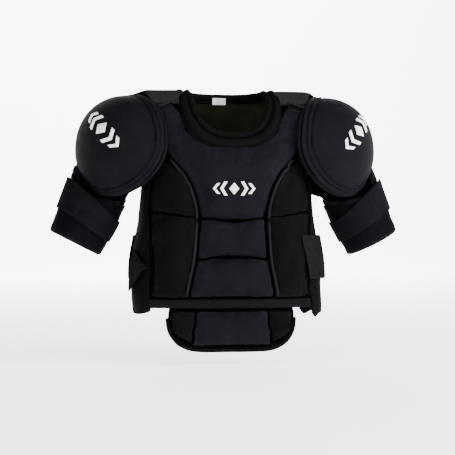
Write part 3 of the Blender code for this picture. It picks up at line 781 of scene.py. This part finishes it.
def chest_shape(co):
    """The chest's neckline closes on the collar, and its upper corners reach the piped seam."""
    share = ramp01(co.z, *CORNER_HEIGHT) * ramp01(abs(co.x), *CORNER_ACROSS)
    share += TOP_SHARE * ramp01(co.z, *TOP_HEIGHT) * ramp01(abs(co.x), *TOP_ACROSS)
    x = co.x * (1.0 + CORNER_SPREAD * share)
    reach = math.hypot(x / NECK_HALF_WIDTH, (co.z - NECK_MIDDLE) / NECK_DEPTH)
    tuck = 1.0 - NECK_TUCK * (1.0 - ramp01(reach, *NECK_TUCK_REACH)) / max(reach, NECK_LEAST)
    z = NECK_MIDDLE + (co.z - NECK_MIDDLE) * tuck
    lift = ramp01(z, *LIFT_HEIGHT) * ramp01(abs(x), *LIFT_ACROSS)
    back = LEAN * ramp01(z, *LEAN_HEIGHT)
    z += LIFT * lift
    limit = yoke_line(abs(x * tuck))
    if z > limit:
        z = limit + OVER_SEAM * (z - limit)
    return Vector((x * tuck, co.y + back * lift, z))


chest = make_pad("chest_pad", shape=chest_shape)
for name in ("mid_abdomen_pad", "lower_abdomen_pad", "spine_pad", "belly_centre_pad"):
    make_pad(name)
for stem in (
    "upper_side_pad", "lower_side_pad", "shoulder_blade_pad", "lower_back_pad", "belly_side_pad",
):
    for side, _ in SIDES:
        # The side and back pads take the side cloth, darkened as painted shade.
        cloth = "panel" if stem == "shoulder_blade_pad" else "side"
        make_pad(f"{stem}_{side}", cloth=cloth)


# The rolled seams along the two long channels, above and below the side strap.
ROLL_RADIUS = 0.0030
ROLL_SPANS = (("upper", -0.2550, -0.130), ("lower", -0.4240, -0.2650))
ROLL_STEPS = 44
ROLL_BESIDE, ROLL_OUT, ROLL_DIP = 0.0048, 0.0120, 0.0035


def roll_along(name, points):
    """A cloth-covered cord sewn on the torso along points, in paler cloth: painted highlight along its
    crest.
    """
    obj = tube(name, points, ROLL_RADIUS)
    displace(obj, uneven(0.0003, fine=160.0))
    add_piece(obj, "torso", "painted_highlight")


for side, sign in SIDES:
    for label, low, high in ROLL_SPANS:
        path = []
        for i in range(ROLL_STEPS + 1):
            z = blend(low, high, i / ROLL_STEPS)
            to_end = min(i, ROLL_STEPS - i)
            dip = ROLL_DIP * (1.0 - to_end / 2.0) if to_end < 2 else 0.0
            path.append(front_point(sign * (column(z) + ROLL_BESIDE), z, ROLL_OUT - dip))
        roll_along(f"seam_roll_{label}_{side}", path)


# ---- cloth layers -------------------------------------------------------------------------------
def make_layer(
    node, material, levels=2, crease=SHARP, wrinkle=0.0006, scale=22.0, extra=None,
    shape=None, ride=True,
):
    """A sewn cloth or foam layer: the CAD surface made smooth, with slight wrinkles."""
    obj = copy_node(node, node + "_cloth")
    seam = Seam(node)
    subdivide(obj, levels if FINE else min(levels, 2), crease)
    wrinkles = uneven(wrinkle, scale)

    def amount(co, normal):
        return wrinkles(co, normal) + (extra(co, normal) if extra else 0.0)

    displace(obj, amount)
    if shape:
        reshape(obj, shape)
    paint_wear(obj, seam)
    add_piece(obj, BODY_OF[node] if ride else None, material, node)
    return obj


# Where the panels' neck edges rise to the collar: the front's band of height, and the back's.
NECK_RISE, NECK_EDGE = 0.006, (0.100, 0.118)
NECK_EDGE_FRONT, NECK_EDGE_BACK = (-0.115, -0.085), (-0.020, 0.006)


def neck_rise(co):
    """The panels' neck edges reach the collar rolls."""
    band = NECK_EDGE_BACK if co.y > 0.0 else NECK_EDGE_FRONT
    share = ramp01(co.z, *band) * (1.0 - ramp01(abs(co.x), *NECK_EDGE))
    return Vector((co.x, co.y, co.z + NECK_RISE * share))


CARRIER_OUT, CARRIER_FLARE = 0.003, 0.004
CARRIER_FLARE_HEIGHT, CARRIER_SIDE = (-0.290, -0.230), (0.120, 0.150)


def carrier_shape(co):
    """The carrier's sides reach the side panels."""
    flare = CARRIER_FLARE * ramp01(co.z, *CARRIER_FLARE_HEIGHT)
    out = (CARRIER_OUT + flare) * ramp01(abs(co.x), *CARRIER_SIDE)
    return Vector((co.x + math.copysign(out, co.x), co.y, co.z))


# The front carrier and lining take the painted-shade cloth: the channels between the front pads are
# painted dark as shade.
make_layer("front_carrier", "painted_shade", shape=carrier_shape)
make_layer("back_carrier", "panel", shape=neck_rise)
make_layer("front_lining", "painted_shade")
make_layer("back_lining", "lining", shape=neck_rise)


# The belly flap's cloth: its share of extra width below a height, how far it reaches down, more at its
# corners, and up behind the hem.
FLAP_WIDE, FLAP_WIDE_BELOW = 0.026, (-0.470, -0.455)
FLAP_DOWN, FLAP_CORNER_DOWN, FLAP_DOWN_BELOW = 0.0030, 0.0040, (-0.530, -0.480)
FLAP_CORNER = (0.060, 0.100)
FLAP_UP, FLAP_TOP = 0.0120, (-0.475, -0.4545)


def flap_shape(co):
    """The flap's cloth fills its binding, and runs up behind the hem."""
    wide = 1.0 + FLAP_WIDE * (1.0 - ramp01(co.z, *FLAP_WIDE_BELOW))
    corner = ramp01(abs(co.x), *FLAP_CORNER)
    down = (FLAP_DOWN + FLAP_CORNER_DOWN * corner) * (1.0 - ramp01(co.z, *FLAP_DOWN_BELOW))
    return Vector((co.x * wide, co.y, co.z - down + FLAP_UP * ramp01(co.z, *FLAP_TOP)))


# The belly flap's cloth is the painted-shade cloth, dark as shade between the belly pads and behind the
# hem.
flap = make_layer("belly_carrier", "painted_shade", shape=flap_shape, ride=False)
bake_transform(flap)


# The side panels: their rise under the cap, and how their lower corners hang. The wearer's left one
# is wider at the bottom, with a tip.
PANEL_RISE, PANEL_TOP = 0.044, (-0.260, -0.195)
PANEL_WIDE, PANEL_WIDE_BELOW = 0.007, (-0.440, -0.398)
PANEL_TIP, PANEL_TIP_X, PANEL_TIP_HALF, PANEL_TIP_BELOW = 0.012, 0.183, 0.010, (-0.456, -0.436)
PANEL_SAG, PANEL_SAG_BELOW, PANEL_SAG_ACROSS = 0.009, (-0.450, -0.400), (0.165, 0.195)


def under_arm(co):
    """The side panel runs up under the cap."""
    wide = PANEL_WIDE * (1.0 - ramp01(co.z, *PANEL_WIDE_BELOW)) if co.x > 0.0 else 0.0
    tip = PANEL_TIP * bell(co.x - PANEL_TIP_X, PANEL_TIP_HALF) * (1.0 - ramp01(co.z, *PANEL_TIP_BELOW))
    low = 1.0 - ramp01(co.z, *PANEL_SAG_BELOW)
    sag = tip + PANEL_SAG * low * ramp01(abs(co.x), *PANEL_SAG_ACROSS)
    return Vector((co.x + wide, co.y, co.z + PANEL_RISE * ramp01(co.z, *PANEL_TOP) - sag))


# The wearer's right strap: how far it hangs, its flare, where it narrows and how deep it is tucked.
TUCK_DROP, TUCK_FLARE, TUCK_NARROW = 0.018, 1.25, 0.985
TUCK_FROM, TUCK_RUN = -0.2200, 0.0300
TUCK_DEPTH, TUCK_LEAN, TUCK_END = 0.014, 0.6, (0.85, 1.0)


def tucked_strap(co):
    """The wearer's right strap runs to a point, and its end is tucked under the panel's edge."""
    narrow = min(max((co.x - TUCK_FROM) / TUCK_RUN, 0.0), 1.0) if co.y < 0.0 else 0.0
    z = STRAP_Z - TUCK_DROP + (co.z - STRAP_Z) * TUCK_FLARE * (1.0 - TUCK_NARROW * narrow)
    sink = TUCK_DEPTH * ramp01(narrow, *TUCK_END)
    return Vector((co.x + sink, co.y + sink * TUCK_LEAN, z))


ARM_DEPTH = 0.94  # a guard's depth as a share of its width


def arm_turn(co, sign):
    """Where a point of an arm guard lies: its turn round the axis, its share along it, its radius."""
    rel = Vector((sign * co.x, co.y, co.z)) - ARM_TOP
    along = rel.dot(ARM_AXIS)
    out = rel.dot(ARM_OUT)
    front = -rel.y
    return math.atan2(front, out), along / ARM_LENGTH, math.hypot(out, front)


def arm_place(turn, along, radius, sign):
    """The point of an arm guard at this turn, share along it and radius."""
    centre = ARM_TOP + ARM_AXIS * (ARM_LENGTH * along)
    front = Vector((0.0, -radius * ARM_DEPTH * math.sin(turn), 0.0))
    point = centre + ARM_OUT * (radius * math.cos(turn)) + front
    return Vector((sign * point.x, point.y, point.z))


# The caps' flange, by distance from the rim: (distance, half width) of its grooves and its roll.
INNER_GROOVE, OUTER_GROOVE, FLANGE_ROLL = (0.0180, 0.0020), (0.0085, 0.0016), (0.0130, 0.0035)
OUTER_SHARE = 0.75
GROOVE_DEEP, ROLL_HIGH, CROWN_HIGH, CROWN_REACH = 0.0034, 0.0014, 0.0018, (0.018, 0.060)
PULL, PULL_REACH, PULL_FINE = 0.0003, 0.006, 120.0
CAP_GROWTH = 0.0018
# The guard's upper edge: it rises to a tip at TIP_TURN degrees round, and is cut back at the inside.
TIP_TURN, TIP_HALF, TIP_RISE, TIP_IN, TIP_ALONG = 24.0, 20.0, 0.0295, 0.0062, (0.15, 0.75)
INSIDE_TURN, INSIDE_CUT, INSIDE_OUT, INSIDE_ALONG = (112.0, 145.0), 0.0170, 0.0040, (0.05, 0.45)
CUFF_REACH, CUFF_ALONG = 0.0035, (0.80, 1.0)
FOLD_HIGH, FOLD_FINE_HIGH, FOLD_FINE, GUARD_GROWTH = 0.0022, 0.0010, 55.0, 0.0012
FOLDS_ROUND, FOLDS_ALONG, FOLDS_APART = 1.1, 4.5, 3.0
# The sleeve inside each arm, a near-black sheet that fills the gap under the cap and is painted shade
# for the shadowed inside of the guard: from where to where along the guard, its radius and its pleats.
SLEEVE_GRID, SLEEVE_FROM, SLEEVE_TO, SLEEVE_THICK = (64, 16), 0.42, -0.40, 0.0016
SLEEVE_RADIUS, SLEEVE_FLARE, SLEEVE_FLARE_RUN = 0.0490, 0.0050, (0.2, 0.9)
PLEATS, PLEAT_TWIST, PLEAT_HIGH = 9.0, 5.0, 0.0012
SLEEVE_BLEND = (-0.22, 0.12)
# The strap round each guard, s from its inside end to the front and t from its lower edge up.
BAND_GRID, BAND_TURNS, BAND_ALONG, BAND_THICK = (72, 14), (186.0, 4.0), (0.79, 0.36), 0.0022
BAND_DROP, BAND_DROP_TOP, BAND_DROP_RUN = 0.15, 0.17, (0.10, 1.0)
BAND_FLARE, BAND_FLARE_FADE, BAND_RADIUS, BAND_OVER = 0.0160, 0.65, (0.0640, 0.0595), 0.0036
BAND_WAVE, BAND_WAVES = 0.0009, (9.0, 2.0)


for side, sign in SIDES:
    rim = Seam(f"cap_cover_{side}", step=0.002)

    def flange(co, normal, rim=rim):
        """The cap's double-stitched flange: two grooves with a soft roll between them."""
        distance = rim.distance(co)
        inner, outer, roll = (
            bell(distance - place, half) for place, half in (INNER_GROOVE, OUTER_GROOVE, FLANGE_ROLL)
        )
        groove = inner + OUTER_SHARE * outer
        pull = noise.noise(co * PULL_FINE) * math.exp(-abs(distance - INNER_GROOVE[0]) / PULL_REACH)
        crown = ramp01(distance, *CROWN_REACH)
        return CAP_GROWTH - GROOVE_DEEP * groove + ROLL_HIGH * roll + CROWN_HIGH * crown + PULL * pull

    def cuff(co, sign=sign):
        """The guard's cloth reaches its lower binding, and its upper edge follows the cap."""
        turn, along, _ = arm_turn(co, sign)
        degrees = abs(math.degrees(turn))
        tip = bell(degrees - TIP_TURN, TIP_HALF) * (1.0 - ramp01(along, *TIP_ALONG))
        inside = ramp01(degrees, *INSIDE_TURN) * (1.0 - ramp01(along, *INSIDE_ALONG))
        down = CUFF_REACH * ramp01(along, *CUFF_ALONG) - TIP_RISE * tip + INSIDE_CUT * inside
        move = ARM_AXIS * down
        move = move - ARM_OUT * (TIP_IN * tip * math.cos(turn)) + ARM_OUT * (INSIDE_OUT * inside)
        return co + Vector((sign * move.x, move.y, move.z))

    def cuff_folds(co, normal, sign=sign):
        """Broad folds round the guard, over a finer unevenness."""
        turn, along, _ = arm_turn(co, sign)
        fold = noise.noise(Vector((turn * FOLDS_ROUND, along * FOLDS_ALONG, FOLDS_APART * sign)))
        return GUARD_GROWTH + FOLD_HIGH * fold + FOLD_FINE_HIGH * noise.noise(co * FOLD_FINE)

    # The side panel takes the side cloth, darkened as painted shade.
    make_layer(f"side_panel_{side}", "side", wrinkle=0.0024, scale=28.0, shape=under_arm)
    make_layer(f"shoulder_rest_{side}", "foam", levels=3, crease=None, wrinkle=0.0003)
    make_layer(f"side_strap_anchor_{side}", "strap")
    obj = make_layer(
        f"side_strap_{side}", "strap", levels=3, shape=tucked_strap if sign < 0 else None
    )
    make_layer(f"arm_hanger_{side}", "strap", levels=3)
    make_layer(f"cap_liner_{side}", "foam")
    make_layer(f"arm_liner_{side}", "foam")
    make_layer(
        f"cap_cover_{side}", "cap", levels=4, crease=50.0, wrinkle=0.0008, scale=14.0,
        extra=flange,
    )
    make_layer(
        f"arm_cover_{side}", "shell_fabric", levels=3, extra=cuff_folds,
        shape=cuff,
    )
    for node in (f"cap_shell_{side}", f"arm_shell_{side}"):
        NODES[node].data.materials.clear()
        NODES[node].data.materials.append(MAT["plastic"])

    def sleeve(s, t, sign=sign):
        """The stretch sleeve inside the arm, with soft pleats; it fills the gap under the cap, and its
        near-black cloth is painted shade for the shadowed inside of the guard.
        """
        turn = 2.0 * math.pi * s
        pleat = PLEAT_HIGH * math.sin(PLEATS * turn + PLEAT_TWIST * t)
        radius = SLEEVE_RADIUS + SLEEVE_FLARE * ramp01(t, *SLEEVE_FLARE_RUN) + pleat
        return arm_place(turn, blend(SLEEVE_FROM, SLEEVE_TO, t), radius, sign)

    obj = sheet_grid(f"arm_shade_sleeve_{side}", *SLEEVE_GRID, sleeve, SLEEVE_THICK)
    displace(obj, uneven(0.0012, fine=60.0))
    add_piece(obj, None, "painted_shade")
    grid_lengths(sleeve, 48)
    top, low = (tuple(arm_place(0.0, along, 0.0, sign)) for along in SLEEVE_BLEND)
    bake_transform(obj)

    def strap(s, t, sign=sign):
        """The strap's band, which drops towards the front and stands off the guard's flare."""
        turn = math.radians(blend(*BAND_TURNS, s))
        along = blend(*BAND_ALONG, t) - (BAND_DROP + BAND_DROP_TOP * t) * ramp01(s, *BAND_DROP_RUN)
        flare = BAND_FLARE * (1.0 - BAND_FLARE_FADE * along) * max(math.cos(turn), 0.0) ** 2
        wave = BAND_WAVE * noise.noise(Vector((s * BAND_WAVES[0], t * BAND_WAVES[1], sign)))
        return arm_place(turn, along, blend(*BAND_RADIUS, along) + flare + BAND_OVER + wave, sign)

    obj = sheet_grid(f"arm_strap_{side}_band", *BAND_GRID, strap, BAND_THICK)
    paint_wear(obj, Seam(f"arm_strap_{side}"))
    add_piece(obj, BODY_OF[f"arm_strap_{side}"], "cuff", f"arm_strap_{side}")
    grid_lengths(strap)


# ---- yokes over the shoulders -------------------------------------------------------------------
CHEST_TREE = surface_tree(chest)
# The mesh from the collar to the cap, and its two edges' turns over the shoulder in degrees: the
# front one at the collar and the cap, and the rear one.
YOKE_SPAN, YOKE_FRONT, YOKE_REAR = (0.1010, 0.2180), (-40.0, 4.0), (60.0, 42.0)
YOKE_FRONT_RUN, YOKE_DROP, YOKE_DROP_RUN = (0.55, 0.90), 0.010, (0.60, 1.0)
# The arch's depth and roundness to the front and to the rear, its foot and its height.
ARCH_FRONT, ARCH_REAR, ARCH_FOOT, ARCH_HEIGHT = (0.112, 2.4), (0.100, 3.2), -0.160, 0.1895
YOKE_GRID, YOKE_THICK = (36, 30), 0.0030
YOKE_BLEND, YOKE_BLEND_Z = (0.172, 0.196), 0.02
EDGE_SPAN, EDGE_STEPS, EDGE_BELOW = (0.108, 0.166), 16, 0.0035
EDGE_AHEAD, CHEST_Y = -0.30, -0.09
EDGE_OUT = Vector((0.0, -0.0030, 0.0040))


def yoke_point(s, t, sign):
    """Mesh from the collar over the shoulder and over the rear of the cap's top."""
    front = blend(*YOKE_FRONT, ramp01(s, *YOKE_FRONT_RUN))
    turn = math.radians(blend(front, blend(*YOKE_REAR, s), t))
    deep, power = ARCH_FRONT if turn < 0.0 else ARCH_REAR
    rise, run = math.cos(turn), abs(math.sin(turn))
    scale = (rise**power + run**power) ** (-1.0 / power)
    height = ARCH_HEIGHT - YOKE_DROP * ramp01(s, *YOKE_DROP_RUN)
    y = math.copysign(run * scale * deep, turn)
    return Vector((sign * blend(*YOKE_SPAN, s), y, ARCH_FOOT + rise * scale * height))


for side, sign in SIDES:

    def yoke(s, t, sign=sign):
        return yoke_point(s, t, sign)

    obj = sheet_grid(f"shoulder_yoke_{side}_mesh", *YOKE_GRID, yoke, YOKE_THICK)
    displace(obj, uneven(0.0008, fine=35.0))
    add_piece(obj, None, "mesh", f"shoulder_yoke_{side}")
    grid_lengths(yoke)
    start, end = ((sign * x, 0.0, YOKE_BLEND_Z) for x in YOKE_BLEND)
    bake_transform(obj)
    edge = []
    for i in range(EDGE_STEPS + 1):
        x = blend(*EDGE_SPAN, i / EDGE_STEPS)
        start = Vector((sign * x, EDGE_AHEAD, yoke_line(x) - EDGE_BELOW))
        place, _ = cast(CHEST_TREE, start, BACKWARD, Vector((start.x, CHEST_Y, start.z)))
        edge.append(place + EDGE_OUT)
    roll_along(f"yoke_seam_{side}", edge)


# ---- rolled bindings ----------------------------------------------------------------------------
ROLL_PUCKER, ROLL_SWELL = uneven(0.0003, fine=130.0), uneven(0.0004, fine=30.0)


def make_roll(node, grow=0.0006, shape=None, material="binding"):
    """A rolled or folded edge band, with fine puckers across it."""
    obj = copy_node(node, node + "_roll")
    subdivide(obj, 2, crease_angle=60.0)
    displace(obj, lambda co, normal: grow + ROLL_PUCKER(co, normal) + ROLL_SWELL(co, normal))
    if shape:
        reshape(obj, shape)
    paint_wear(obj, base=0.05)
    add_piece(obj, BODY_OF[node], material, node)


HEM_CLOSE, HEM_TOP = 0.0065, (-0.444, -0.438)


def hem_shape(co):
    """The hem binding closes against the panel above it."""
    return Vector((co.x, co.y, co.z + HEM_CLOSE * ramp01(co.z, *HEM_TOP)))


make_roll("collar_inner_roll", grow=0.0018, material="collar")
make_roll("collar_outer_roll", grow=0.0022, material="collar")
make_roll("front_hem_binding", shape=hem_shape)
make_roll("back_hem_binding", shape=hem_shape)
make_roll("belly_binding", grow=0.0014, material="collar")
for side, _ in SIDES:
    make_roll(f"cap_binding_{side}", grow=0.0010)
    make_roll(f"arm_binding_{side}", grow=0.0028)


LOOP_STEPS, LOOP_POWER, LEAN_POWER = 96, 2.6, 1.8
COLLAR_TOP, COLLAR_BACK = 0.0265, 0.0225


def neck_loop(half_width, front, back, ahead, lower):
    """A closed line round the neck: half its width, its front height, its depth to the back and to
    the front, and how far it lies below the rolls' own line."""
    points = []
    for i in range(LOOP_STEPS):
        turn = 2.0 * math.pi * i / LOOP_STEPS
        across, along = math.cos(turn), math.sin(turn)
        scale = (abs(across) ** LOOP_POWER + abs(along) ** LOOP_POWER) ** (-1.0 / LOOP_POWER)
        drop = abs(along) * scale
        if along < 0.0:
            y = -ahead * (1.0 - (1.0 - drop) ** LEAN_POWER) ** (1.0 / LEAN_POWER)
            z = blend(COLLAR_TOP, front, drop)
        else:
            y, z = back * drop, blend(COLLAR_TOP, COLLAR_BACK, drop)
        points.append(Vector((half_width * across * scale, y, z - lower)))
    return points


# The tapes between the collar rolls: each one's line, as neck_loop takes it, and its radius.
TAPES = {
    "collar_valley_tape": ((0.0975, -0.0880, 0.0820, 0.1225, 0.0030), 0.0078),
    "collar_inner_tape": ((0.0890, -0.0800, 0.0735, 0.1180, 0.0095), 0.0048),
    "collar_outer_tape": ((0.1100, -0.1010, 0.0930, 0.1230, 0.0060), 0.0050),
}
for name, (line, radius) in TAPES.items():
    obj = tube(name, neck_loop(*line), radius, closed=True)
    add_piece(obj, "torso", "collar")


# ---- marks and label ----------------------------------------------------------------------------
DIAMOND = (0.0100, 0.0120)  # half its width and half its height
# Each arrowhead's distance from the middle, half its height and its thickness.
ARROWS, ARROW_POINT = ((0.0135, 0.0140, 0.0062), (0.0285, 0.0105, 0.0058)), 0.0085
MARK_COLUMNS, MARK_ROWS = 16, 4
MARK_AHEAD, MARK_FRONT, MARK_BACK = 0.06, 0.0019, 0.0006


def mark_strips():
    """The generic mark: a diamond between nested arrowheads, as quads (s, t) -> (u, v) in metres."""
    shapes = [lambda s, t: (DIAMOND[0] * (s + t - 1.0), DIAMOND[1] * (s - t))]
    for offset, height, thick in ARROWS:
        for sign in (1, -1):

            def bar(s, t, offset=offset, height=height, thick=thick, sign=sign):
                v = height * (2.0 * s - 1.0)
                u = offset + ARROW_POINT * (1.0 - abs(2.0 * s - 1.0)) + thick * t
                return sign * u, v

            shapes.append(bar)
    return shapes


def make_mark(node, body, centre, east, north, face, size):
    """Lays the mark on a finished surface, from a point in front of it."""
    tree = surface_tree(face)
    bm = bmesh.new()
    depth = east.cross(north).normalized()
    for shape in mark_strips():
        top, low = [], []
        for i in range(MARK_COLUMNS + 1):
            top.append([])
            low.append([])
            for j in range(MARK_ROWS + 1):
                u, v = shape(i / MARK_COLUMNS, j / MARK_ROWS)
                start = centre + east * (u * size) + north * (v * size) + depth * MARK_AHEAD
                place, normal = cast(tree, start, -depth, start)
                if normal.dot(depth) < 0.0:
                    normal = -normal
                top[-1].append(bm.verts.new(place + normal * MARK_FRONT))
                low[-1].append(bm.verts.new(place - normal * MARK_BACK))
        for i in range(MARK_COLUMNS):
            for j in range(MARK_ROWS):
                bm.faces.new((top[i][j], top[i + 1][j], top[i + 1][j + 1], top[i][j + 1]))
                bm.faces.new((low[i][j], low[i][j + 1], low[i + 1][j + 1], low[i + 1][j]))
            for j in (0, MARK_ROWS):
                bm.faces.new((top[i][j], top[i + 1][j], low[i + 1][j], low[i][j]))
        for j in range(MARK_ROWS):
            for i in (0, MARK_COLUMNS):
                bm.faces.new((top[i][j], top[i][j + 1], low[i][j + 1], low[i][j]))
    bmesh.ops.recalc_face_normals(bm, faces=list(bm.faces))
    add_piece(from_bmesh(node + "_mark", bm), body, "mark", node)


EAST, UP = Vector((1.0, 0.0, 0.0)), Vector((0.0, 0.0, 1.0))
CHEST_MARK_SIZE, CAP_MARK_SIZE = 1.07, 1.34
CAP_MARK_TILT = math.radians(42.0)
CAP_MIDDLE = (0.2, -0.003, -0.1)
low, high = (Vector(corner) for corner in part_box("chest_badge"))
middle = Vector((0.0, low.y, (low.z + high.z) / 2.0))
make_mark("chest_badge", "torso", middle, EAST, UP, chest, CHEST_MARK_SIZE)
for side, sign in SIDES:
    node = f"cap_badge_{side}"
    mesh = NODES[node].data
    middle = sum((v.co for v in mesh.vertices), Vector()) / len(mesh.vertices)
    outward = (middle - Vector((sign * CAP_MIDDLE[0], *CAP_MIDDLE[1:]))).normalized()
    across = UP.cross(outward).normalized()
    up = outward.cross(across)
    tilt = CAP_MARK_TILT * sign
    east = across * math.cos(tilt) + up * math.sin(tilt)
    north = up * math.cos(tilt) - across * math.sin(tilt)
    cover = bpy.data.objects[f"cap_cover_{side}_cloth"]
    make_mark(node, f"cap_{side}", middle, east, north, cover, CAP_MARK_SIZE)

NODES["neck_label"].data.materials.clear()
NODES["neck_label"].data.materials.append(MAT["label"])
